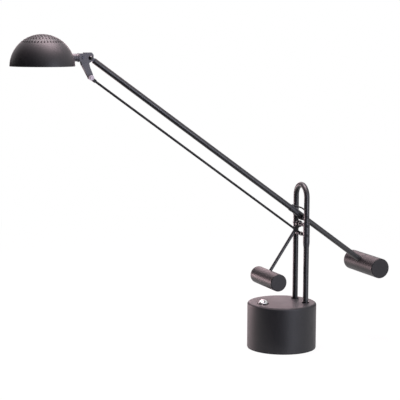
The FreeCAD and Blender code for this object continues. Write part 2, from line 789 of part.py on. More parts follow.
def lever():
    """Hub on the middle axle, the rod and the small weight it carries."""
    centre = LEVER_AXLE + spot(y=size("lever_plane"))
    disc = across("hub_disc", "hub_radius", "hub_thick", centre)
    neck = along_lever("hub_neck", "hub_neck_radius", "hub_neck_end - hub_neck_start",
                       size("hub_neck_start"))
    slab = across("hub_slab", "hub_neck_end * 2", "hub_thick", centre)
    neck_flat = common("hub_neck_flat", [neck, slab])
    socket = along_lever("hub_socket", "lever_radius", "hub_neck_end", size("hub_radius"))
    hole = across("hub_hole", "axle_radius + axle_gap", "hub_thick * 2", centre)
    whole = fuse("hub_whole", [disc, neck_flat])
    part("lever_hub", cut("hub_cut", whole, [socket, hole]))
    part("lever_rod", along_lever("lever_bar", "lever_radius", "lever_length - hub_radius",
                                  size("hub_radius")))
    middle = on_lever(size("lever_length")) - spot(y=size("lever_plane"))
    body = turned_weight("small_weight", "small_weight_radius", "small_weight_length", middle)
    bore = along_lever("small_weight_bore", "lever_radius", "small_weight_radius * 2",
                       size("lever_length - small_weight_radius * 2"))
    thread_start = size("lever_length + small_weight_radius - set_screw_length")
    thread = along_lever("small_weight_thread", "set_screw_radius", "small_weight_radius", thread_start)
    part("small_counterweight", cut("small_weight_cut", body, [bore, thread]))
    part("small_weight_screw", along_lever("small_screw", "set_screw_radius", "small_screw_length",
                                           thread_start))


# ---------------------------------------------------------------- tie rod

def tie_rod():
    """Thin rod that keeps the head level, an eye at each end."""
    bar = cylinder("rod_bar", "rod_radius", "arm_length", ROD_AXLE, ARM_TURN * ALONG_X)
    lower = across("rod_lower_eye", "rod_eye_radius", "rod_eye_thick", ROD_AXLE)
    upper = across("rod_upper_eye", "rod_eye_radius", "rod_eye_thick", ROD_PIVOT)
    corner = ROD_AXLE + ARM_TURN.multVec(
        spot(size("arm_length - rod_flat_length"), -size("rod_eye_thick / 2"), -size("rod_flat_depth / 2")))
    flat = box("rod_flat", "rod_flat_length", "rod_eye_thick", "rod_flat_depth", corner, ARM_TURN)
    whole = fuse("rod_whole", [bar, lower, upper, flat])
    holes = [
        across("rod_lower_hole", "axle_radius + axle_gap", "rod_eye_thick * 2", ROD_AXLE),
        across("rod_upper_hole", "axle_radius + open_pivot_gap", "rod_eye_thick * 2", ROD_PIVOT),
    ]
    part("tie_rod", cut("rod_cut", whole, holes))


# ---------------------------------------------------------------- head link

def link_outline():
    """Side outline of the head link about the arm's head pivot."""
    lobe_left = "-tilt_back - tilt_lobe + link_lobe_trim"
    toe = "-rod_axle_drop - rod_eye_radius"
    return [
        ("-link_crown_run", "link_crown"),
        ("link_crown_back", "link_crown"),
        ("link_nose", "link_brow"),
        ("link_nose", "-link_chin"),
        ("-link_waist_reach", "-link_waist"),
        ("-link_knee_reach", "-link_knee"),
        ("link_shin_reach", "-link_shin"),
        ("rod_eye_radius + link_toe_wall", "-rod_axle_drop"),
        ("link_toe_back", toe),
        ("-link_toe_reach", f"{toe} + link_toe_back"),
        ("-link_back_reach", "-link_back_drop"),
        (lobe_left, "tilt_rise - link_lobe_flat"),
        (lobe_left, "tilt_rise + link_lobe_flat"),
        ("-tilt_back - link_lobe_top", "tilt_rise + tilt_lobe - link_lobe_slope"),
        ("-tilt_back + link_lobe_top", "tilt_rise + tilt_lobe"),
    ]


def web_edge(drop):
    """Formulas of a point on the inner face of the link's web, this far below its head pivot."""
    run = "(link_back_reach - link_toe_reach)"
    fall = "(rod_axle_drop + rod_eye_radius - link_toe_back - link_back_drop)"
    lean = f"({drop} - link_back_drop) * {run} / {fall}"
    return f"-link_back_reach + {lean} + link_plate * link_web_slant", f"-{drop}"


def head_link():
    """Folded bracket: two cheeks joined by a web on the shade's side."""
    body = plate("link_form", link_outline(), "link_gap + link_plate * 2")
    body.Placement.Base = HEAD_PIVOT
    channel = plate("link_channel", [
        ("-arm_tube_start * 4", "link_crown * 2"),
        ("arm_tube_start * 4", "link_crown * 2"),
        ("arm_tube_start * 4", "-rod_axle_drop * 2"),
        ("-arm_tube_start * 4", "-rod_axle_drop * 2"),
        ("-arm_tube_start * 4", "-link_web_bottom"),
        web_edge("link_web_bottom"),
        web_edge("link_web_top"),
        ("-arm_tube_start * 4", "-link_web_top"),
    ], "link_gap")
    channel.Placement.Base = HEAD_PIVOT
    holes = [
        across("link_pin_hole", "pin_radius", "link_gap * 4", HEAD_PIVOT),
        across("link_rod_hole", "axle_radius", "link_gap * 4", ROD_PIVOT),
        across("link_tilt_hole", "tilt_screw_radius + axle_gap", "link_gap * 4", TILT_PIVOT),
    ]
    part("head_link", cut("link_cut", body, [channel] + holes))


def pinned(label, at, radius, head_radius, head_thick, front, back, domed=False):
    """A pin along Y through a pivot, its head against the face at front and its tip at back."""
    pin = bind(doc.addObject("Part::Cylinder", f"{label}_pin"), Radius=radius)
    pin.Height = back - front
    pin.Placement = FreeCAD.Placement(at + spot(y=front), ALONG_Y)
    top = at + spot(y=front - size(head_thick))
    head = cylinder(f"{label}_head", head_radius, head_thick, top, ALONG_Y)
    if domed:
        ball = bind(doc.addObject("Part::Sphere", f"{label}_ball"), Radius=f"{head_radius} * pin_dome")
        ball.Placement.Base = top + spot(y=size(f"{head_radius} * pin_dome"))
        head = common(f"{label}_dome", [head, ball])
    return fuse(f"{label}_whole", [head, pin])


def nut(label, at, radius, thick, bore, face):
    """A round nut behind the face at this Y."""
    ring = cylinder(f"{label}_ring", radius, thick, at + spot(y=face), ALONG_Y)
    hole = cylinder(f"{label}_hole", bore, thick, at + spot(y=face), ALONG_Y)
    return cut(f"{label}_cut", ring, [hole])


def link_pins():
    """Acorn pin at the arm's eye, and the pin with its nylon bush at the tie rod's eye."""
    face = size("link_gap / 2 + link_plate")
    behind = size("link_nut_thick")
    part("head_pin", pinned("head_pin", HEAD_PIVOT, "pin_radius", "acorn_radius", "acorn_rise",
                            -face, face + behind, domed=True))
    part("head_pin_nut", nut("head_pin_nut", HEAD_PIVOT, "link_nut_radius", "link_nut_thick",
                             "pin_radius", face))
    front = face + size("nylon_bush_length")
    part("rod_head_pin", pinned("rod_head_pin", ROD_PIVOT, "axle_radius", "axle_head", "pin_head_thick",
                                -front, face + behind))
    ring = cylinder("nylon_ring", "nylon_bush_radius", "nylon_bush_length",
                    ROD_PIVOT - spot(y=front), ALONG_Y)
    hole = cylinder("nylon_hole", "axle_radius", "nylon_bush_length", ROD_PIVOT - spot(y=front), ALONG_Y)
    part("nylon_bush", cut("nylon_cut", ring, [hole]))
    part("rod_head_nut", nut("rod_head_nut", ROD_PIVOT, "axle_nut", "link_nut_thick", "axle_radius", face))


# ---------------------------------------------------------------- knuckle and neck

KNUCKLE_FACE = "(link_gap / 2 + link_plate + cheek_gap + cheek_plate)"
FLANGE_START = size("cheek_start")


def toward_shade(name, radius, length, start):
    """A cylinder along -X from a distance on the shade's side of the tilt pivot."""
    return cylinder(name, radius, length, TILT_PIVOT - spot(start), ALONG_X.inverted())


def knuckle():
    """Fork over the head link, with the flange and spigot that the neck turns on."""
    fork = plate("knuckle_form", [
        ("-cheek_start", "cheek_reach"),
        ("cheek_flat", "cheek_reach"),
        ("cheek_shoulder", "cheek_bevel"),
        ("cheek_reach", "0"),
        ("cheek_shoulder", "-cheek_bevel"),
        ("cheek_flat", "-cheek_reach"),
        ("-cheek_start", "-cheek_reach"),
    ], f"{KNUCKLE_FACE} * 2")
    fork.Placement.Base = TILT_PIVOT
    gap = "link_gap + link_plate * 2 + cheek_gap * 2"
    slot = box("knuckle_slot", "cheek_reach * 4", gap, "cheek_reach * 4",
               TILT_PIVOT - spot(FLANGE_START, size(gap) / 2, size("cheek_reach * 2")))
    hole = across("knuckle_hole", "tilt_screw_radius", "cheek_reach * 4", TILT_PIVOT)
    prongs = cut("knuckle_prongs", fork, [slot, hole])
    flange = toward_shade("knuckle_flange", "flange_radius", "flange_thick", FLANGE_START)
    spigot = toward_shade("knuckle_spigot", "spigot_radius", "shade_reach - tilt_back - shade_radius + spigot_inside",
                          FLANGE_START)
    part("knuckle", fuse("knuckle_whole", [prongs, flange, spigot]))
    face = size(KNUCKLE_FACE)
    part("tilt_screw", pinned("tilt_screw", TILT_PIVOT, "tilt_screw_radius", "tilt_screw_head",
                              "tilt_screw_head_thick", -face, face + size("tilt_nut_thick")))
    part("tilt_nut", nut("tilt_nut", TILT_PIVOT, "tilt_nut_radius", "tilt_nut_thick",
                         "tilt_screw_radius", face))


def neck():
    """Turned collar between the knuckle and the shade, in two rings, and its nut inside."""
    start = FLANGE_START + size("flange_thick + cheek_gap")
    wall = size("shade_reach - tilt_back") - math.sqrt(
        size("shade_radius") ** 2 - size("shade_drop + tilt_rise - shade_rise + shade_radius") ** 2)
    length = wall - start + size("neck_inset")
    ring = bind(doc.addObject("Part::Cylinder", "neck_ring"), Radius="neck_radius")
    ring.Height = length
    ring.Placement = FreeCAD.Placement(TILT_PIVOT - spot(start), ALONG_X.inverted())
    bore = toward_shade("neck_bore", "neck_bore", "shade_radius", start)
    seam_outer = toward_shade("neck_seam_outer", "neck_radius * 2", "neck_seam",
                              start + size("neck_ring"))
    seam_inner = toward_shade("neck_seam_inner", "neck_radius - neck_seam", "neck_seam",
                              start + size("neck_ring"))
    seam = cut("neck_seam_cut", seam_outer, [seam_inner])
    dome = bind(doc.addObject("Part::Sphere", "neck_dome"), Radius="shade_radius")
    dome.Placement.Base = SHADE_CENTRE
    part("neck_collar", cut("neck_cut", ring, [bore, seam, dome]))
    return wall


def neck_nut(wall):
    """Nut on the spigot inside the shade."""
    start = wall + size("shade_wall + neck_nut_gap")
    ring = toward_shade("neck_nut_ring", "neck_nut_radius", "neck_nut_thick", start)
    hole = toward_shade("neck_nut_hole", "spigot_radius", "neck_nut_thick", start)
    part("neck_nut", cut("neck_nut_cut", ring, [hole]))


# ---------------------------------------------------------------- shade and lamp

def ball(name, radius):
    solid = bind(doc.addObject("Part::Sphere", name), Radius=radius)
    solid.Placement.Base = SHADE_CENTRE
    return solid


def shade():
    """Spun dome, open below, with rings of round holes over its crown."""
    outer = ball("shade_outer", "shade_radius")
    inner = ball("shade_inner", "shade_radius - shade_wall")
    below = cylinder("shade_below", "shade_radius * 2", "shade_radius * 2",
                     RIM_CENTRE - spot(z=size("shade_radius * 2")))
    neck_hole = toward_shade("shade_neck_hole", "neck_bore", "shade_radius", FLANGE_START)
    whole = cut("shade_open", outer, [inner, below, neck_hole])
    vents = doc.addObject("Part::Compound", "vents")
    vents.Links = vent_holes()
    part("shade", cut("shade_cut", whole, [vents]))


def vent_holes():
    """Short radial cylinders through the crown, in staggered rings."""
    holes = []
    start = spot(z=size("shade_radius - shade_wall * 2"))
    for ring in range(int(size("hole_rings")) + 1):
        count = max(1, int(size("hole_ring_count")) * ring)
        tilt = FreeCAD.Rotation(spot(0, 1, 0), ring * size("hole_ring_step"))
        for number in range(count):
            turn = FreeCAD.Rotation(spot(0, 0, 1), 360.0 * (number + (ring % 2) / 2) / count) * tilt
            holes.append(cylinder(f"vent_{ring}_{number}", "hole_radius", "shade_wall * 3",
                                  SHADE_CENTRE + turn.multVec(start), turn))
    return holes


def seated(name, depth, thick):
    """A disc whose lower face is this far above the rim, reaching the shade's inner wall."""
    level = f"({depth} + {thick} + shade_radius - shade_rise)"
    reach = bind(doc.addObject("Part::Cylinder", name), Height=thick)
    inner = "(shade_radius - shade_wall)"
    bind(reach, Radius=f"sqrt({inner} * {inner} - {level} * {level}) - sink_gap")
    reach.Placement.Base = RIM_CENTRE + spot(z=size(depth))
    return reach


def lamp():
    """Heat sink plate, its lamp board, and the frosted lens in its ring."""
    part("heat_sink", seated("sink_disc", "sink_depth", "sink_thick"))
    part("led_board", cylinder("board_disc", "board_radius", "board_thick",
                               RIM_CENTRE + spot(z=size("sink_depth - board_thick"))))
    foot = RIM_CENTRE + spot(z=size("lens_depth - lens_lip_thick"))
    shelf = RIM_CENTRE + spot(z=size("lens_depth"))
    ring = cylinder("lens_ring_tube", "module_radius", "sink_depth - lens_depth + lens_lip_thick", foot)
    opening = cylinder("lens_opening", "module_radius - module_wall - lens_lip", "lens_lip_thick", foot)
    inside = cylinder("lens_ring_inside", "module_radius - module_wall", "sink_depth - lens_depth", shelf)
    part("lens_ring", cut("lens_ring_cut", ring, [opening, inside]))
    part("lens", cylinder("lens_disc", "module_radius - module_wall - sink_gap", "lens_thick", shelf))


# ---------------------------------------------------------------- leads

def lead(label, points):
    """A thin lead along straight runs joined by arcs, ending inside what holds it."""
    radius = size("lead_radius")
    edges = []
    start = points[0]
    for before, corner, after in zip(points, points[1:], points[2:]):
        into = (corner - before).normalize()
        out = (after - corner).normalize()
        trim = BEND_SHARE * min((corner - before).Length, (after - corner).Length)
        first = corner - into * trim
        last = corner + out * trim
        bisector = (out - into).normalize()
        half = into.getAngle(out) / 2
        bend = trim / math.tan(half)
        middle = corner + bisector * (bend / math.cos(half) - bend)
        edges.append(Part.LineSegment(start, first).toShape())
        edges.append(Part.Arc(first, middle, last).toShape())
        start = last
        print(f"{label}: bend radius {bend:.1f} mm")
    edges.append(Part.LineSegment(start, points[-1]).toShape())
    path = Part.Wire(edges)
    along = (points[1] - points[0]).normalize()
    section = Part.Wire([Part.Circle(points[0], along, radius).toShape()])
    thing = doc.addObject("Part::Feature", f"{label}_tube")
    thing.Shape = path.makePipeShell([section], True, True)
    thing.Placement = FreeCAD.Placement()
    expected = math.pi * radius ** 2 * path.Length
    print(f"{label}: volume {thing.Shape.Volume:.1f}, section times length {expected:.1f}")
    part(label, thing)


def leads():
    """Two short leads looping from the arm's sleeve into the front leg."""
    upper, lower = lead_ports()
    top = size("pivot_sleeve_radius")
    lead("upper_lead",
         [on_arm(reach, side, top + rise) for reach, side, rise in UPPER_LEAD_ON_ARM]
         + [upper + spot(*step) for step in UPPER_LEAD_AT_LEG])
    lead("lower_lead",
         [on_arm(reach, side, -top - drop) for reach, side, drop in LOWER_LEAD_ON_ARM]
         + [lower + spot(*step) for step in LOWER_LEAD_AT_LEG])


def main():
    base_shell()
    base_inside()
    cord_inlet()
    push_button()
    hairpin_tube()
    leg_fittings()
    leg_sleeve()
    axles()
    spacers()
    arm_tube()
    pivot_sleeve()
    head_fitting()
    main_counterweight()
    lever()
    tie_rod()
    head_link()
    link_pins()
    knuckle()
    neck_nut(neck())
    shade()
    lamp()
    leads()
    save()


def save():
    """Check every object, then write each sub-part to its own file."""
    doc.recompute()
    failed = [thing.Name for thing in doc.Objects if {"Invalid", "Error"} & set(thing.State)]
    if failed:
        raise RuntimeError(f"these objects failed: {failed}")
    labels = [thing.Label for thing in PARTS]
    if len(labels) != len(set(labels)):
        raise RuntimeError("two sub-parts share a name")
    os.makedirs("parts", exist_ok=True)
    for thing in PARTS:
        if thing.Shape.isNull() or not thing.Shape.isValid() or not thing.Shape.Solids:
            raise RuntimeError(f"{thing.Label} has no valid solid")
        thing.Shape.exportStep(f"parts/{thing.Label}.step")
        print(f"{thing.Label}: {len(thing.Shape.Solids)} solid(s), {thing.Shape.Volume / 1000:.2f} cm3")


main()
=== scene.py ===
# %% [markdown]
# # A counterweight balance desk lamp
#
# The lamp is a round weighted base, a hairpin of bent steel tube, and a long arm that balances on
# a thin axle between the hairpin's legs. Its solids come from a CAD program and are loaded as they
# are. Blender's work is what the eye reads: finishes, light, the view, and the small soft or
# repeated pieces that are easier to make as surfaces than as solids.
#
# Everything is in metres and in the CAD's own frame: the origin is under the middle of the base,
# +Z is up, the shade is toward -X and the tail weight toward +X.

# %% Load the solids
import math

import bpy
import numpy as np
from mathutils import Matrix, Vector


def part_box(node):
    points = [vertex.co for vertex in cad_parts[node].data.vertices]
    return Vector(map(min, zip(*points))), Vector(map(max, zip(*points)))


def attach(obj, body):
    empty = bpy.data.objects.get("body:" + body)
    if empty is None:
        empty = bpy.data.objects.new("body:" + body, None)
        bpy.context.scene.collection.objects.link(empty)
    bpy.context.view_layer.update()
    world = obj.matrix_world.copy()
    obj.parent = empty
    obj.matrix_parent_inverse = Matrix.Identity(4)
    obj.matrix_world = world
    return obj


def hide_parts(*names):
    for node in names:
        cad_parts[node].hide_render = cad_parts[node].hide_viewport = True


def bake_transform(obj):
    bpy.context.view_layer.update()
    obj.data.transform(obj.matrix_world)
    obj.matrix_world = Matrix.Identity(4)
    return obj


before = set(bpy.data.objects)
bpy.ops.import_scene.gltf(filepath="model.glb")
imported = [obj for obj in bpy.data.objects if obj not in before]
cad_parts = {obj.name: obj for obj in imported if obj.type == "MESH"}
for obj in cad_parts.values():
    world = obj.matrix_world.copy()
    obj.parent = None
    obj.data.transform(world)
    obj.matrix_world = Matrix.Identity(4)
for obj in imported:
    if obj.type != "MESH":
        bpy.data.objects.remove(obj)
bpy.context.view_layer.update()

MM = 0.001

# %% [markdown]
# ## The view
#
# The lamp is seen from some way off through a long lens, so its near end doesn't look swollen. A
# camera like that could be placed by eye, but here its place was solved: about ninety outline
# points were compared with the same points on the solids until they agreed. Writing the camera as
# yaw, pitch and roll keeps the numbers readable.

# %% Camera
PHOTO_PIXELS = 400
FOCAL_PIXELS = 1324.9
SENSOR_MM = 36.0
CLOSEST_SEEN, FARTHEST_SEEN = 0.1, 60.0
CAMERA_PLACE = Vector((-0.98711, -2.06973, 0.55752))
YAW, PITCH, ROLL = 0.382, 0.129, 0.003  # radians


def camera_turn(yaw, pitch, roll):
    """Axes of a camera as the columns of a matrix: right, up, and back.

    Forward is the +Y direction turned by yaw toward +X and dropped by pitch. Right is level and
    square to it, up is their cross product, and roll turns right and up about the forward line."""
    forward = Vector((math.sin(yaw) * math.cos(pitch), math.cos(yaw) * math.cos(pitch),
                      -math.sin(pitch)))
    level = Vector((math.cos(yaw), -math.sin(yaw), 0.0))
    upright = level.cross(forward)
    right = level * math.cos(roll) + upright * math.sin(roll)
    up = upright * math.cos(roll) - level * math.sin(roll)
    return Matrix((right, up, -forward)).transposed()


lens = bpy.data.cameras.new("long_lens")
lens.sensor_width = SENSOR_MM
lens.lens = FOCAL_PIXELS / PHOTO_PIXELS * SENSOR_MM
lens.clip_start, lens.clip_end = CLOSEST_SEEN, FARTHEST_SEEN
camera = bpy.data.objects.new("camera", lens)
camera.matrix_world = Matrix.Translation(CAMERA_PLACE) @ camera_turn(YAW, PITCH, ROLL).to_4x4()
bpy.context.scene.collection.objects.link(camera)
bpy.context.scene.camera = camera
print("camera lens", round(lens.lens, 1), "mm")

# %% [markdown]
# ## Surfaces from grids of points
#
# Each new piece is a function of two numbers, such as a distance along a line and an angle round
# it. numpy works out the whole grid at once. One function then joins neighbouring points into
# faces. Where points of the grid fall together, as at a pole or along a seam, they are made one
# point, so the surface is closed and can be printed or measured as a solid.

# %% Grid to mesh
# Points that lie this close together, in metres, are made one.
WELD = 1e-7
SHARP_EDGE = math.radians(40)


def closed_surface(name, grid, wrap_rows=False, wrap_columns=False):
    """Object whose faces join neighbouring points of one grid, or of a stack of equal grids.

    A face joins point (i, j) with (i+1, j), (i+1, j+1) and (i, j+1). Equal points are welded, a
    face that loses a corner becomes a triangle, and all faces are turned round together if the
    volume, a sixth of the sum of a . (b x c) over the triangles, comes out negative."""
    stack = grid[None] if grid.ndim == 3 else grid
    count, rows, columns = stack.shape[:3]
    index = np.arange(count * rows * columns).reshape(count, rows, columns)
    i = np.arange(rows if wrap_rows else rows - 1)
    j = np.arange(columns if wrap_columns else columns - 1)
    i, j = np.meshgrid(i, j, indexing="ij")
    i_next, j_next = (i + 1) % rows, (j + 1) % columns
    quads = np.stack([index[:, i, j], index[:, i_next, j], index[:, i_next, j_next],
                      index[:, i, j_next]], axis=-1).reshape(-1, 4)
    points = stack.reshape(-1, 3)
    spots = np.round(points / WELD).astype(np.int64)
    _, first, same = np.unique(spots, axis=0, return_index=True, return_inverse=True)
    points, quads = points[first], same.reshape(-1)[quads]
    doubled = quads == np.roll(quads, -1, axis=1)
    whole = quads[~doubled.any(axis=1)]
    cornered = doubled.sum(axis=1) == 1
    keep = np.arange(4) != doubled[cornered].argmax(axis=1)[:, None]
    triangles = quads[cornered][keep].reshape(-1, 3)
    halves = np.concatenate([whole[:, [0, 1, 2]], whole[:, [0, 2, 3]], triangles])
    a, b, c = (points[halves[:, k]] for k in range(3))
    if np.einsum("ij,ij->i", a, np.cross(b, c)).sum() < 0:
        whole, triangles = whole[:, ::-1], triangles[:, ::-1]
    mesh = bpy.data.meshes.new(name)
    mesh.from_pydata(points.tolist(), [], whole.tolist() + triangles.tolist())
    mesh.shade_smooth()
    mesh.set_sharp_from_angle(angle=SHARP_EDGE)
    piece = bpy.data.objects.new(name, mesh)
    bpy.context.scene.collection.objects.link(piece)
    print(name, len(mesh.vertices), "points", len(mesh.polygons), "faces")
    return piece


# %% [markdown]
# A wire follows a smooth line through a few guide points. A quadratic B-spline is enough: every
# point of it is a weighted mean of three neighbouring guides, so it never swings wide, and
# repeating the first and last guide makes it start and end there.

# %% Smooth line and round wire
def smooth_line(guides, per_span):
    """Points of a quadratic B-spline: weights (1-t)^2/2, (1+2t-2t^2)/2 and t^2/2 on three guides,
    with t from 0 to 1 in each span and the end guides counted twice."""
    guides = np.array(guides, float)
    guides = np.concatenate([guides[:1], guides, guides[-1:]])
    t = np.linspace(0.0, 1.0, per_span, endpoint=False)[None, :, None]
    a, b, c = (guides[k:len(guides) - 2 + k, None] for k in range(3))
    line = (a * (1 - t) ** 2 + b * (1 + 2 * t - 2 * t * t) + c * t * t) / 2
    end = (guides[-2] + guides[-1]) / 2
    return np.concatenate([line.reshape(-1, 3), end[None]])


def round_wire(name, line, radius, aside, sides=16):
    """Closed tube: at each point of the line a circle stands square to the line's direction. One
    radius of it is the cross product of that direction with aside, and the other is square to
    both. A circle of no size at each end closes it."""
    ahead = np.gradient(line, axis=0)
    ahead /= np.linalg.norm(ahead, axis=1, keepdims=True)
    across = np.cross(ahead, aside)
    across /= np.linalg.norm(across, axis=1, keepdims=True)
    over = np.cross(ahead, across)
    angle = np.linspace(0.0, 2 * math.pi, sides, endpoint=False)[None, :, None]
    ring = across[:, None] * np.cos(angle) + over[:, None] * np.sin(angle)
    size = np.full(len(line) + 2, radius)
    size[[0, -1]] = 0.0
    rows = np.r_[0, np.arange(len(line)), len(line) - 1]
    return closed_surface(name, line[rows][:, None] + ring[rows] * size[:, None, None],
                          wrap_columns=True)


# %% [markdown]
# ## Leads at the pivot
#
# Two thin leads leave the soft sleeve on the arm and go into the front leg, with enough slack for
# the arm to swing. The CAD holds them as rigid tubes, which could only turn with the arm or stay
# with the stand. Here each is drawn instead as a round wire along a smooth line from the sleeve
# into the leg, at the arm's rest place; it is not tied to the arm or the stand.

# %% The arm's own directions
ARM_AXLE = np.array([36.0, 0.0, 232.0]) * MM
ARM_ANGLE = math.radians(35.8)
TOWARD_SHADE = np.array([-math.cos(ARM_ANGLE), 0.0, math.sin(ARM_ANGLE)])
ABOVE_ARM = np.array([math.sin(ARM_ANGLE), 0.0, math.cos(ARM_ANGLE)])
ASIDE = np.array([0.0, 1.0, 0.0])


def by_arm(reach, side, rise):
    """Point this many millimetres from the arm's axle toward the shade, to the side, and above."""
    return ARM_AXLE + (TOWARD_SHADE * reach + ASIDE * side + ABOVE_ARM * rise) * MM


# %% Ports in the front leg
LEG_INNER_Y = -16.2
UPPER_PORT_RISE, LOWER_PORT_DROP = 10.5, 7.2


def near(place, x, y, z):
    """Point this many millimetres from another."""
    return place + np.array([x, y, z]) * MM


UPPER_PORT = near(ARM_AXLE, 0.0, LEG_INNER_Y, UPPER_PORT_RISE)
LOWER_PORT = near(ARM_AXLE, 0.0, LEG_INNER_Y, -LOWER_PORT_DROP)

# %% Leads
LEAD_RADIUS = 1.35 * MM
SPAN_POINTS = 8
# Neither lead ever runs along this direction, so the circles round it never flip over.
LEAD_ASIDE = ABOVE_ARM + TOWARD_SHADE * 0.4

upper_guides = [by_arm(26, 0, 5.2), by_arm(23, -0.2, 6.4), by_arm(18, -1.4, 7.9),
                by_arm(12, -5.0, 10.2), near(UPPER_PORT, -2.4, 5.6, 3.4),
                near(UPPER_PORT, 0, 1.6, 0.5), near(UPPER_PORT, 0, -0.6, 0)]
lower_guides = [by_arm(6.5, -1.8, -4.8), by_arm(3.5, -2.2, -6.4), by_arm(0.5, -4.6, -7.0),
                near(LOWER_PORT, -0.6, 5.0, 1.4), near(LOWER_PORT, 0, 1.6, 0.2),
                near(LOWER_PORT, 0, -0.6, 0)]
upper_line = smooth_line(upper_guides, SPAN_POINTS)
lower_line = smooth_line(lower_guides, SPAN_POINTS)
upper_lead = round_wire("upper_lead_soft", upper_line, LEAD_RADIUS, LEAD_ASIDE)
lower_lead = round_wire("lower_lead_soft", lower_line, LEAD_RADIUS, LEAD_ASIDE)
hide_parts("upper_lead")
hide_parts("lower_lead")
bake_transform(upper_lead)
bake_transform(lower_lead)

# %% [markdown]
# ## Grommets and washers
#
# The bare edge of a hole would cut a lead, so a soft ring lines each port. It could be turned from
# a profile, but its profile is a plain circle, so it is a torus: a small circle carried round a
# larger one.

# %% Soft rings at the ports
GROMMET_RING = 1.75 * MM
GROMMET_BEAD = 0.55 * MM


def torus_about_y(name, centre, ring, bead, around=32, across=12):
    """Ring about the Y direction: a circle of radius bead whose centre goes round a circle of
    radius ring in the XZ plane."""
    u = np.linspace(0.0, 2 * math.pi, around, endpoint=False)[:, None]
    v = np.linspace(0.0, 2 * math.pi, across, endpoint=False)[None, :]
    out = ring + bead * np.cos(v)
    grid = np.stack(np.broadcast_arrays(out * np.cos(u), bead * np.sin(v), out * np.sin(u)),
                    axis=-1)
    return closed_surface(name, grid + centre, wrap_rows=True, wrap_columns=True)


grommets = [torus_about_y(f"{level}_grommet", port, GROMMET_RING, GROMMET_BEAD)
            for level, port in (("upper", UPPER_PORT), ("lower", LOWER_PORT))]
for grommet in grommets:
    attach(grommet, "base")

# %% [markdown]
# Small white washers on the spacers keep the moving parts of the two lower axles from rubbing.
# Their rims are well rounded, so the same torus serves at another size, pushed on over the spacer.

# %% Washers on the axles
WASHER_RING = 2.6 * MM
WASHER_BEAD = 0.9 * MM
LEVER_AXLE_DROP, ROD_AXLE_DROP = 15.5, 32.0
# Each washer's name, the drop of its axle below the arm's axle, and its place along the axle.
WASHERS = (("hub_washer", LEVER_AXLE_DROP, 4.4), ("rod_washer_front", ROD_AXLE_DROP, -3.6),
           ("rod_washer_back", ROD_AXLE_DROP, 15.3))

washers = [torus_about_y(name, near(ARM_AXLE, 0.0, side, -drop), WASHER_RING, WASHER_BEAD)
           for name, drop, side in WASHERS]
for washer in washers:
    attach(washer, "base")

# %% [markdown]
# ## The band on the sleeve
#
# Where the upper lead leaves the sleeve, a shrunk band holds it down. A tube with thick walls
# would stand off the sleeve everywhere, but a shrunk one hugs what is under it. So the band is a
# thin rounded strip carried round the arm, and it swells only where it passes over the lead.

# %% Band over the lead
# Millimetres along the arm, then millimetres out from it, then radians round it.
BAND_START, BAND_END = 21.0, 26.6
BAND_INNER, BAND_OUTER, BAND_SWELL = 5.30, 5.65, 1.30
SWELL_TURN = 0.26
CORNER_POWER = 0.35


def squared(wave):
    """Sine or cosine pushed toward its extremes: its sign times its size to the CORNER_POWER."""
    return np.sign(wave) * np.abs(wave) ** CORNER_POWER


def shrunk_band(name, sides=96, corners=24):
    """Strip round the arm. Its section is a rounded rectangle, whose two coordinates follow a
    squared cosine and a squared sine. Its outer side rises by a bell, e to the minus square of
    the angle from the arm's upper side over SWELL_TURN, so that it passes over the lead."""
    u = np.linspace(0.0, 2 * math.pi, sides, endpoint=False)[:, None]
    v = np.linspace(0.0, 2 * math.pi, corners, endpoint=False)[None, :]
    bell = np.exp(-((u - math.pi) / SWELL_TURN) ** 2)
    outer = BAND_OUTER + BAND_SWELL * bell
    reach = (BAND_START + BAND_END) / 2 + (BAND_END - BAND_START) / 2 * squared(np.cos(v))
    rise = (BAND_INNER + outer) / 2 + (outer - BAND_INNER) / 2 * squared(np.sin(v))
    along = reach[..., None] * TOWARD_SHADE
    about = -np.cos(u)[..., None] * ABOVE_ARM + np.sin(u)[..., None] * ASIDE
    return closed_surface(name, ARM_AXLE + (along + rise[..., None] * about) * MM,
                          wrap_rows=True, wrap_columns=True)


band = shrunk_band("sleeve_band")
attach(band, "arm")

# %% [markdown]
# ## Inside the shade
#
# Under the shade a frosted lens covers a white board of small light emitters, and on the board's
# other side a ribbed plate carries their heat to the vent holes. The emitters are one small
# pillow repeated by adding its grid to a list of places, so numpy makes them all at once.

# %% Emitters on the board
BOARD_LOW, BOARD_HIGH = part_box("led_board")
BOARD_CENTRE = np.array((BOARD_LOW + BOARD_HIGH) / 2)
EMITTER_HALF = 1.75 * MM
EMITTER_THICK = 0.8 * MM
# Each ring's radius in millimetres and its number of emitters.
EMITTER_RINGS = ((0.0, 1), (11.0, 6), (21.0, 12), (29.0, 16))


def pillow_grid(half, thick, steps=9):
    """Closed pad hanging from the plane z = 0. On a square of parameters from -1 to 1, the height
    is -thick times the fourth root of (1 - u^8)(1 - v^8), which is flat in the middle and falls
    steeply at the rim. A second sheet at z = 0 closes it. Steps are finer toward the rim."""
    edge = np.sin(np.linspace(-math.pi / 2, math.pi / 2, steps))
    u, v = np.meshgrid(edge, edge, indexing="ij")
    drop = thick * ((1 - u ** 8) * (1 - v ** 8)).clip(0) ** 0.25
    face = np.stack([u * half, v * half, -drop], axis=-1)
    back = face * np.array([1.0, 1.0, 0.0])
    return np.concatenate([face, back[::-1]])


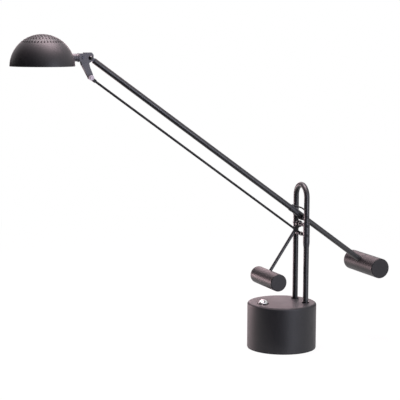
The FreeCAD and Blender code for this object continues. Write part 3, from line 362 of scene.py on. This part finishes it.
ring_radius = np.concatenate([np.full(n, r) for r, n in EMITTER_RINGS]) * MM
ring_angle = np.concatenate([np.arange(n) * 2 * math.pi / n for r, n in EMITTER_RINGS])
places = np.stack([ring_radius * np.cos(ring_angle), ring_radius * np.sin(ring_angle),
                   np.zeros_like(ring_radius)], axis=-1)
places += np.array([BOARD_CENTRE[0], BOARD_CENTRE[1], BOARD_LOW[2]])
pads = pillow_grid(EMITTER_HALF, EMITTER_THICK)[None] + places[:, None, None]
emitters = closed_surface("light_emitters", pads)
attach(emitters, "shade")

# %% [markdown]
# The ribs are thin fins standing on the plate like spokes. Each has a half round crest and is
# turned to its own angle, so one grid times a set of rotations gives them all.

# %% Ribs on the heat sink
SINK_LOW, SINK_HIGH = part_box("heat_sink")
RIB_COUNT = 18
RIB_INNER, RIB_OUTER = 8.0 * MM, 27.0 * MM
RIB_HEIGHT, RIB_HALF = 7.0 * MM, 0.6 * MM


def ribs(name, crest_points=13):
    """Spokes: across the rib a half ellipse of half width RIB_HALF and height RIB_HEIGHT, run
    from RIB_INNER to RIB_OUTER, and turned to equal steps of a full turn. The section shrinks to
    a point at each end, which closes the rib."""
    angle = np.linspace(0.0, math.pi, crest_points)
    section = np.stack([RIB_HALF * np.cos(angle), RIB_HEIGHT * np.sin(angle)], axis=-1)
    section = np.concatenate([section, [[0.0, 0.0]]])
    along = np.array([RIB_INNER, RIB_INNER, RIB_OUTER, RIB_OUTER])[:, None]
    shrink = np.array([0.0, 1.0, 1.0, 0.0])[:, None]
    grid = np.stack(np.broadcast_arrays(along, section[:, 0] * shrink, section[:, 1] * shrink),
                    axis=-1)
    turn = np.arange(RIB_COUNT) * 2 * math.pi / RIB_COUNT
    cos, sin = np.cos(turn)[:, None, None], np.sin(turn)[:, None, None]
    x, y, z = (grid[..., k][None] for k in range(3))
    spokes = np.stack(np.broadcast_arrays(x * cos - y * sin, x * sin + y * cos, z), axis=-1)
    middle = np.array([(SINK_LOW[0] + SINK_HIGH[0]) / 2, (SINK_LOW[1] + SINK_HIGH[1]) / 2,
                       SINK_HIGH[2]])
    return closed_surface(name, spokes + middle, wrap_columns=True)


sink_ribs = ribs("sink_ribs")
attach(sink_ribs, "shade")

# %% [markdown]
# ## Finishes
#
# The lamp looks plainly black, but its blacks differ: a fine grained powder coat on the base, the
# shade and the weights, a smoother satin coat on the tubes, soft rubber, moulded plastic and
# blackened screws. They are told apart mostly by how they spread a reflection, so roughness and
# fine relief matter more here than colour. Colours are written as sRGB hex, as a paint chart
# gives them, and one function turns them to the linear values that Blender counts in.

# %% Colour, pattern scale and nodes
def linear(colour):
    """Linear RGBA of an sRGB hex colour.

    Each share c becomes c / 12.92 up to 0.04045, and ((c + 0.055) / 1.055)^2.4 above it."""
    c = np.array([int(colour[k:k + 2], 16) for k in (1, 3, 5)]) / 255
    return (*np.where(c <= 0.04045, c / 12.92, ((c + 0.055) / 1.055) ** 2.4).tolist(), 1.0)


def per_metre(size_mm):
    """Texture scale at which one feature is this many millimetres across."""
    return 1.0 / (size_mm * MM)


def add(tree, kind, inputs=None, **settings):
    """Add a node, set its properties, and give each named input a value or another's output."""
    node = tree.nodes.new(kind)
    for name, value in settings.items():
        setattr(node, name, value)
    for name, value in (inputs or {}).items():
        if isinstance(value, bpy.types.NodeSocket):
            tree.links.new(value, node.inputs[name])
        else:
            node.inputs[name].default_value = value
    return node


def new_finish(name):
    """Empty node material and its tree."""
    material = bpy.data.materials.new(name)
    material.use_nodes = True
    material.node_tree.nodes.clear()
    return material, material.node_tree


# Places of a colour Mix node's two colours among its inputs, and of its colour among its outputs.
MIX_A, MIX_B, MIX_RESULT = 6, 7, 2
# A noise mostly stays between these, so a range that is mapped from them is used to its ends.
NOISE_SPAN = {"From Min": 0.3, "From Max": 0.7}

# %% [markdown]
# ### Powder coat
#
# Polyester powder is sprayed on dry and baked, and it melts into a skin with a fine orange peel.
# Two scales of noise show that: a grain lifts the surface, and a slow drift over some centimetres
# varies the tone and the roughness a little, as a sprayed coat does. The real grain is finer than
# half a millimetre, and is drawn as one to two and a half so that it shows.

# %% Powder coat
DUST = "#f0dde2"
DRIFT_MM = 35.0
ROUGHNESS_DRIFT = 0.03
POLYESTER_IOR = 1.5


def powder_coat(name, tone, deep_tone, roughness, grain_mm, lift_mm, gloss=0.4, sheen=0.0):
    """Baked coat with a fine relief: gloss is the specular level, and sheen a dusty edge glow."""
    material, tree = new_finish(name)
    place = add(tree, "ShaderNodeTexCoord").outputs["Object"]
    drift = add(tree, "ShaderNodeTexNoise", {"Vector": place, "Scale": per_metre(DRIFT_MM),
                                             "Detail": 3.0, "Roughness": 0.55})
    grain = add(tree, "ShaderNodeTexNoise", {"Vector": place, "Scale": per_metre(grain_mm),
                                             "Detail": 2.0, "Roughness": 0.6})
    colour = add(tree, "ShaderNodeMix", {0: drift.outputs[0], MIX_A: linear(tone),
                                         MIX_B: linear(deep_tone)}, data_type="RGBA")
    rough = add(tree, "ShaderNodeMapRange", {"Value": drift.outputs[0], **NOISE_SPAN,
                                             "To Min": roughness - ROUGHNESS_DRIFT,
                                             "To Max": roughness + ROUGHNESS_DRIFT})
    relief = add(tree, "ShaderNodeBump", {"Height": grain.outputs[0], "Strength": 0.35,
                                          "Distance": lift_mm * MM})
    coat = add(tree, "ShaderNodeBsdfPrincipled",
               {"Base Color": colour.outputs[MIX_RESULT], "Roughness": rough.outputs[0],
                "Normal": relief.outputs[0], "IOR": POLYESTER_IOR, "Specular IOR Level": gloss,
                "Sheen Weight": sheen, "Sheen Roughness": 0.4, "Sheen Tint": linear(DUST)})
    add(tree, "ShaderNodeOutputMaterial", {"Surface": coat.outputs[0]})
    return material


# Fine grained matte black: breaks reflections into a soft even sheen.
black_powder = powder_coat("matte_black_powder_coat", "#191a1d", "#131417", roughness=0.52,
                           grain_mm=0.9, lift_mm=0.03, gloss=0.36, sheen=0.06)
# The same powder on the thin spun shade, where it melts out a little smoother.
shade_powder = powder_coat("matte_black_powder_coat_on_shade", "#18181b", "#121215", roughness=0.50,
                           grain_mm=0.8, lift_mm=0.02, gloss=0.38, sheen=0.06)
# Solid turned weights: the coat is drier and paler on them.
weight_powder = powder_coat("matte_black_powder_coat_on_weights", "#1c1b1d", "#141315",
                            roughness=0.46, grain_mm=0.8, lift_mm=0.005, gloss=0.26, sheen=0.03)
# Drawn steel tube under a smoother satin coat: reflections run along it as clear lines.
tube_satin = powder_coat("satin_black_coat_on_tube", "#131317", "#0e0e11", roughness=0.44,
                         grain_mm=2.5, lift_mm=0.001, gloss=0.55)
# Thin rod in the same satin black.
rod_satin = powder_coat("satin_black_coat_on_rod", "#0e0e11", "#0a0a0c", roughness=0.50,
                        grain_mm=2.5, lift_mm=0.001, gloss=0.25)
# Folded steel bracket and turned neck: the same black satin, painted greyer to stand in for the
# sheen of light on them.
bracket_painted_grey = powder_coat("black_satin_painted_grey", "#36353b", "#2e2d33", roughness=0.48,
                            grain_mm=1.2, lift_mm=0.002, gloss=0.5, sheen=0.05)
# Small cast hub, black paint over a cast skin.
hub_paint = powder_coat("black_paint_on_casting", "#151519", "#0f0f12", roughness=0.42,
                        grain_mm=1.2, lift_mm=0.05)

# %% [markdown]
# ### Metals
#
# Plated, blackened and cast metals differ in what the tool or the mould left on them. A noise
# stretched along one direction stands for rolling or turning lines, and it changes the roughness
# more than the height. Real lines are far finer than a millimetre, and are drawn coarser here so
# that they show.

# %% Metals
def worked_metal(name, colour, deep_colour, roughness, line_mm, stretch, lift_mm=0.01):
    """Metal with fine lines: noise on coordinates times stretch, whose small factor draws the
    lines out along the working direction."""
    material, tree = new_finish(name)
    place = add(tree, "ShaderNodeTexCoord").outputs["Object"]
    squeeze = add(tree, "ShaderNodeMapping", {"Vector": place, "Scale": stretch})
    lines = add(tree, "ShaderNodeTexNoise", {"Vector": squeeze.outputs[0],
                                             "Scale": per_metre(line_mm), "Detail": 3.0,
                                             "Roughness": 0.6})
    tone = add(tree, "ShaderNodeMix", {0: lines.outputs[0], MIX_A: linear(colour),
                                       MIX_B: linear(deep_colour)}, data_type="RGBA")
    rough = add(tree, "ShaderNodeMapRange", {"Value": lines.outputs[0], **NOISE_SPAN,
                                             "To Min": roughness * 0.8,
                                             "To Max": roughness * 1.25})
    relief = add(tree, "ShaderNodeBump", {"Height": lines.outputs[0], "Strength": 0.3,
                                          "Distance": lift_mm * MM})
    metal = add(tree, "ShaderNodeBsdfPrincipled",
                {"Base Color": tone.outputs[MIX_RESULT], "Metallic": 1.0,
                 "Roughness": rough.outputs[0], "Normal": relief.outputs[0]})
    add(tree, "ShaderNodeOutputMaterial", {"Surface": metal.outputs[0]})
    return material


# Zinc plate: a cool, slightly cloudy silver.
zinc_plate = worked_metal("zinc_plated_steel", "#b9bcc0", "#8f9397", roughness=0.32, line_mm=1.5,
                          stretch=(1.0, 1.0, 0.2))
# Blackened steel screws, nuts and spacers: dark, with a dull metallic glint.
black_steel = worked_metal("blackened_steel", "#3a3a3e", "#26262a", roughness=0.36, line_mm=0.8,
                           stretch=(1.0, 0.2, 1.0))
# Satin chrome dome of the push button: it gathers the bright room without mirroring it.
chrome = worked_metal("satin_chrome", "#fafafa", "#eeeef0", roughness=0.34, line_mm=4.0,
                      stretch=(1.0, 1.0, 1.0), lift_mm=0.002)
# Dark bronze ring round the button.
bronze_ring = worked_metal("dark_bronze_plate", "#2f2523", "#201918", roughness=0.5, line_mm=0.8,
                           stretch=(1.0, 1.0, 0.3))
# Brass bush in the arm's eye, in a dark brown tone.
brass = worked_metal("dark_toned_brass", "#2e2820", "#1d1914", roughness=0.34, line_mm=0.5,
                     stretch=(1.0, 0.2, 1.0))
# Black anodised aluminium of the heat sink, also kept dark as painted shade, so that the vent holes
# read as black.
sink_dark_as_shade = worked_metal("black_anodised_aluminium_painted_dark", "#1d1d20", "#141416", roughness=0.45,
                              line_mm=0.9, stretch=(0.15, 1.0, 1.0))
# Grey cast iron ballast: rough sand skin, hardly any gloss.
cast_iron = worked_metal("sand_cast_iron", "#6a6866", "#3f3e3d", roughness=0.62, line_mm=1.6,
                         stretch=(1.0, 1.0, 1.0), lift_mm=0.25)

# %% [markdown]
# ### Plastics and rubber
#
# Moulded parts copy the mould's skin, so their relief is faint and even. Natural nylon lets light
# in a little way, which is why a small nylon washer looks milky. Soft foam and rubber have no
# sharp highlight at all.

# %% Plastics and rubber
GLOW_REACH = (0.6 * MM, 0.6 * MM, 0.6 * MM)


def moulded(name, colour, deep_colour, roughness, grain_mm, lift_mm, ior=1.5, inner_glow=0.0,
            clear=0.0):
    """Moulded plastic or rubber with a faint even grain. A share inner_glow of the light enters
    and spreads over GLOW_REACH, and a share clear of it passes through."""
    material, tree = new_finish(name)
    place = add(tree, "ShaderNodeTexCoord").outputs["Object"]
    grain = add(tree, "ShaderNodeTexNoise", {"Vector": place, "Scale": per_metre(grain_mm),
                                             "Detail": 2.0, "Roughness": 0.5})
    tone = add(tree, "ShaderNodeMix", {0: grain.outputs[0], MIX_A: linear(colour),
                                       MIX_B: linear(deep_colour)}, data_type="RGBA")
    rough = add(tree, "ShaderNodeMapRange", {"Value": grain.outputs[0], **NOISE_SPAN,
                                             "To Min": roughness * 0.9,
                                             "To Max": roughness * 1.1})
    relief = add(tree, "ShaderNodeBump", {"Height": grain.outputs[0], "Strength": 0.3,
                                          "Distance": lift_mm * MM})
    plastic = add(tree, "ShaderNodeBsdfPrincipled",
                  {"Base Color": tone.outputs[MIX_RESULT], "Roughness": rough.outputs[0],
                   "Normal": relief.outputs[0], "IOR": ior, "Subsurface Weight": inner_glow,
                   "Subsurface Radius": GLOW_REACH, "Subsurface Scale": 1.0,
                   "Transmission Weight": clear})
    add(tree, "ShaderNodeOutputMaterial", {"Surface": plastic.outputs[0]})
    return material


# Glossy black cap of the head pivot: one small sharp white reflection.
gloss_cap = moulded("gloss_black_phenolic", "#0c0c0e", "#08080a", roughness=0.10, grain_mm=2.0,
                    lift_mm=0.001, ior=1.6)
# Satin black mouldings: collars, gland, switch, driver case and grommets.
black_abs = moulded("satin_black_abs", "#121214", "#0c0c0e", roughness=0.28, grain_mm=0.8,
                    lift_mm=0.01)
# Heat shrunk sleeve: blue black, waxy, with a soft highlight.
shrink_sleeve = moulded("shrunk_polyolefin_sleeve", "#1b1c22", "#131419", roughness=0.40,
                        grain_mm=1.0, lift_mm=0.03)
# Silicone insulation of the leads: matt black and slightly dusty.
lead_silicone = moulded("silicone_insulation", "#141416", "#0d0d0f", roughness=0.50, grain_mm=0.5,
                        lift_mm=0.01, ior=1.41)
# Black oxide on the axles' heads: a dull skin that hides the metal, so they read as dark dots.
black_oxide = moulded("black_oxide_on_steel", "#0b0b0d", "#060607", roughness=0.5, grain_mm=0.8,
                      lift_mm=0.01, ior=1.4)
# Natural nylon: milky, with a lilac cast painted in for the tinted light it picks up from the parts
# round it.
natural_nylon = moulded("natural_nylon", "#a1979f", "#877e86", roughness=0.38, grain_mm=1.2,
                        lift_mm=0.01, ior=1.53, inner_glow=0.35)
# White nylon washers, a little grey.
white_nylon = moulded("greyish_white_nylon", "#c4c2be", "#aeaca8", roughness=0.42, grain_mm=1.2,
                      lift_mm=0.01, ior=1.53, inner_glow=0.2)
# White moulded ring that holds the lens.
white_abs = moulded("white_abs", "#e6e5e2", "#dbdad6", roughness=0.35, grain_mm=0.9, lift_mm=0.01)
# Frosted lens: rough on its inner side, so the emitters blur into one glow.
frosted = moulded("frosted_polycarbonate", "#f3f3f0", "#e9e9e5", roughness=0.45, grain_mm=0.6,
                  lift_mm=0.02, ior=1.58, inner_glow=0.0, clear=0.7)
# Solder mask on the two boards, smooth and slightly glossy.
white_mask = moulded("white_solder_mask", "#ecece8", "#e2e2dd", roughness=0.30, grain_mm=1.5,
                     lift_mm=0.005)
green_mask = moulded("green_solder_mask", "#1d5a3c", "#164a30", roughness=0.30, grain_mm=1.5,
                     lift_mm=0.005)
# Phosphor of the emitters: warm yellow under clear resin.
phosphor = moulded("phosphor_in_resin", "#e8c24a", "#d9ae35", roughness=0.22, grain_mm=0.6,
                   lift_mm=0.01, ior=1.5, inner_glow=0.2)
# Closed cell foam under the base: dull, with open pores at the cut face.
foam = moulded("cut_foam_pad", "#202023", "#131315", roughness=0.85, grain_mm=0.9, lift_mm=0.25)

# %% [markdown]
# Each solid is now given the finish of the real piece. The list is written by finish, because
# that is how a maker would sort the parts before painting.

# %% Dress the solids
FINISHES = {
    black_powder: ["base_shell"],
    shade_powder: ["shade"],
    weight_powder: ["main_counterweight", "small_counterweight"],
    tube_satin: ["hairpin_tube", "arm_tube", "lever_rod"],
    rod_satin: ["tie_rod"],
    bracket_painted_grey: ["head_link", "knuckle", "neck_collar"],
    hub_paint: ["lever_hub"],
    zinc_plate: ["base_plate", "base_posts", "plate_screws", "foot_nuts", "neck_nut"],
    black_steel: ["axle_nuts", "arm_axle_spacers", "lever_axle_spacers", "rod_axle_spacers",
                  "arm_head_fitting", "main_weight_screw", "small_weight_screw", "head_pin_nut",
                  "rod_head_nut", "tilt_screw", "tilt_nut"],
    black_oxide: ["arm_axle", "lever_axle", "rod_axle"],
    chrome: ["push_button"],
    bronze_ring: ["button_bezel"],
    brass: ["arm_bush"],
    sink_dark_as_shade: ["heat_sink"],
    cast_iron: ["ballast"],
    gloss_cap: ["head_pin"],
    black_abs: ["foot_collars", "cord_gland", "gland_nut", "switch_body", "led_driver"],
    shrink_sleeve: ["pivot_sleeve", "leg_sleeve"],
    lead_silicone: ["upper_lead", "lower_lead"],
    natural_nylon: ["nylon_bush", "rod_head_pin"],
    white_abs: ["lens_ring"],
    frosted: ["lens"],
    white_mask: ["led_board"],
    green_mask: ["switch_board"],
    foam: ["foot_pad"],
}


def paint(piece, material):
    """One material on a whole piece."""
    piece.data.materials.clear()
    piece.data.materials.append(material)


for material, names in FINISHES.items():
    for name in names:
        paint(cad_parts[name], material)
for piece, material in ((upper_lead, lead_silicone), (lower_lead, lead_silicone),
                        (band, shrink_sleeve), (emitters, phosphor), (sink_ribs, sink_dark_as_shade)):
    paint(piece, material)
for grommet in grommets:
    paint(grommet, black_abs)
for washer in washers:
    paint(washer, white_nylon)
undressed = sorted(set(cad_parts) - {n for names in FINISHES.values() for n in names})
print("finishes", len(FINISHES), "undressed", undressed)

# %% [markdown]
# ## Floor and light
#
# The lamp stands on a white sheet that fills the view. More light would make the sheet whiter, but
# it would wash out the black paint too. So the sheet glows only for the camera and the
# reflections: it looks white without lighting the lamp from below, and it still holds a faint
# shadow close to the base.

# %% Floor
FLOOR_HALF = 8.0
FLOOR_DROP = 0.1 * MM
# Share of pure white that the paper adds at two distances from the lamp.
GLOW_NEAR, GLOW_FAR = 0.93, 1.0
GLOW_START, GLOW_END = 0.4, 1.6
WHITE = (1.0, 1.0, 1.0, 1.0)


def flat_sheet(name, corners, material):
    """Stage piece of one face, through four corners in order."""
    mesh = bpy.data.meshes.new(name)
    mesh.from_pydata([tuple(c) for c in corners], [], [(0, 1, 2, 3)])
    sheet = bpy.data.objects.new(name, mesh)
    sheet.data.materials.append(material)
    bpy.context.scene.collection.objects.link(sheet)
    return sheet


def seen_share(tree):
    """One where the camera, a reflection or a clear body looks, and zero for light that spreads."""
    ray = add(tree, "ShaderNodeLightPath")
    seen = add(tree, "ShaderNodeMath", {0: ray.outputs["Is Camera Ray"],
                                        1: ray.outputs["Is Glossy Ray"]}, operation="MAXIMUM")
    seen = add(tree, "ShaderNodeMath", {0: seen.outputs[0],
                                        1: ray.outputs["Is Transmission Ray"]},
               operation="MAXIMUM")
    return seen.outputs[0]


paper, tree = new_finish("white_paper_sweep")
place = add(tree, "ShaderNodeTexCoord").outputs["Object"]
distance = add(tree, "ShaderNodeVectorMath", {0: place}, operation="LENGTH")
fade = add(tree, "ShaderNodeMapRange", {"Value": distance.outputs["Value"],
                                        "From Min": GLOW_START, "From Max": GLOW_END,
                                        "To Min": GLOW_NEAR, "To Max": GLOW_FAR})
share = add(tree, "ShaderNodeMath", {0: seen_share(tree), 1: fade.outputs[0]},
            operation="MULTIPLY")
matt = add(tree, "ShaderNodeBsdfDiffuse", {"Color": linear("#efefef")})
glow = add(tree, "ShaderNodeEmission", {"Color": WHITE, "Strength": 1.0})
blend = add(tree, "ShaderNodeMixShader", {0: share.outputs[0], 1: matt.outputs[0],
                                          2: glow.outputs[0]})
add(tree, "ShaderNodeOutputMaterial", {"Surface": blend.outputs[0]})
flat_sheet("floor", [(x * FLOOR_HALF, y * FLOOR_HALF, -FLOOR_DROP)
                     for x, y in ((-1, -1), (1, -1), (1, 1), (-1, 1))], paper)

# %% [markdown]
# The room is white to the camera and to reflections, and dimmer for everything it lights.

# %% Room
ROOM_SPREAD, ROOM_SEEN = 0.45, 1.0

world = bpy.data.worlds.new("white_room")
bpy.context.scene.world = world
world.use_nodes = True
tree = world.node_tree
tree.nodes.clear()
strength = add(tree, "ShaderNodeMapRange", {"Value": seen_share(tree), "To Min": ROOM_SPREAD,
                                            "To Max": ROOM_SEEN})
air = add(tree, "ShaderNodeBackground", {"Color": WHITE, "Strength": strength.outputs[0]})
add(tree, "ShaderNodeOutputWorld", {"Surface": air.outputs[0]})

# %% [markdown]
# Small hard lamps would leave bright dots on satin black, and large soft ones leave broad bands
# that show how a form turns. One lamp overhead draws the top faces, one behind gives them their
# pale sheen, one in front on the right gives the base and the shade a broad band, and a small one
# low on the left gives the base's left side a soft pale edge.

# %% Lamps
def soft_lamp(name, place, aim, width, height, watts, colour):
    """Rectangular lamp facing a point, out of the camera's sight."""
    light = bpy.data.lights.new(name, "AREA")
    light.shape = "RECTANGLE"
    light.size, light.size_y = width, height
    light.energy = watts
    light.color = linear(colour)[:3]
    lamp = bpy.data.objects.new(name, light)
    lamp.location = place
    lamp.rotation_euler = (Vector(aim) - Vector(place)).to_track_quat("-Z", "Y").to_euler()
    lamp.visible_camera = False
    bpy.context.scene.collection.objects.link(lamp)


soft_lamp("overhead_lamp", place=(-0.15, 0.05, 1.5), aim=(-0.25, 0.0, 0.4), width=1.1, height=0.7,
          watts=36.0, colour="#ffe6ee")
soft_lamp("back_lamp", place=(0.35, 2.2, 0.9), aim=(0.0, 0.0, 0.1), width=1.6, height=1.0,
          watts=16.0, colour="#ffd4de")
soft_lamp("right_lamp", place=(0.3, -1.5, 0.3), aim=(0.0, 0.0, 0.10), width=0.28, height=0.8,
          watts=15.0, colour="#e8eaff")
soft_lamp("left_lamp", place=(-0.5, 0.75, 0.05), aim=(-0.05, 0.0, 0.0), width=0.4, height=0.1,
          watts=3.2, colour="#ffdce2")

# %% [markdown]
# Black objects are shaped by what they do not reflect. A photographer stands black cards just
# outside the view, so that part of each round form turns dark. Here the cards are seen only by
# reflections: they hide nothing from the camera and take no light away.

# %% Dark cards
CARD_LIFT = 1.0 * MM
# Corners of each card in order round it. All but the last stand nearly upright.
CARDS = {
    "left_card": [(-1.2, -1.3, 0.0), (-1.5, 0.9, 0.0), (-1.2, 0.9, 1.7), (-1.0, -1.3, 1.7)],
    "back_card": [(-1.5, 0.7, 0.12), (0.15, 1.45, 0.12), (0.15, 1.45, 0.62), (-1.5, 0.7, 0.62)],
    "right_card": [(1.3, 0.2, 0.0), (1.0, 0.95, 0.0), (1.0, 0.95, 0.6), (1.3, 0.2, 0.6)],
    "front_card": [(-1.3, -1.3, 0.0), (-0.1, -1.6, 0.0), (-0.1, -1.6, 1.0), (-1.3, -1.3, 1.0)],
    "floor_card": [(-1.2, -1.3, CARD_LIFT), (-0.12, -1.3, CARD_LIFT), (-0.02, -0.08, CARD_LIFT),
                   (-1.2, 0.1, CARD_LIFT)],
}
card_black, tree = new_finish("black_card")
card_paint = add(tree, "ShaderNodeBsdfDiffuse", {"Color": linear("#0c0c0e")})
add(tree, "ShaderNodeOutputMaterial", {"Surface": card_paint.outputs[0]})

for name, corners in CARDS.items():
    card = flat_sheet(name, corners, card_black)
    card.visible_camera = card.visible_diffuse = card.visible_shadow = False
    card.visible_transmission = card.visible_volume_scatter = False
print("dark cards", len(CARDS))

# %% [markdown]
# The Standard view shows each colour as it was written, with no film curve over it.

# %% Colour view
bpy.context.scene.view_settings.view_transform = "Standard"
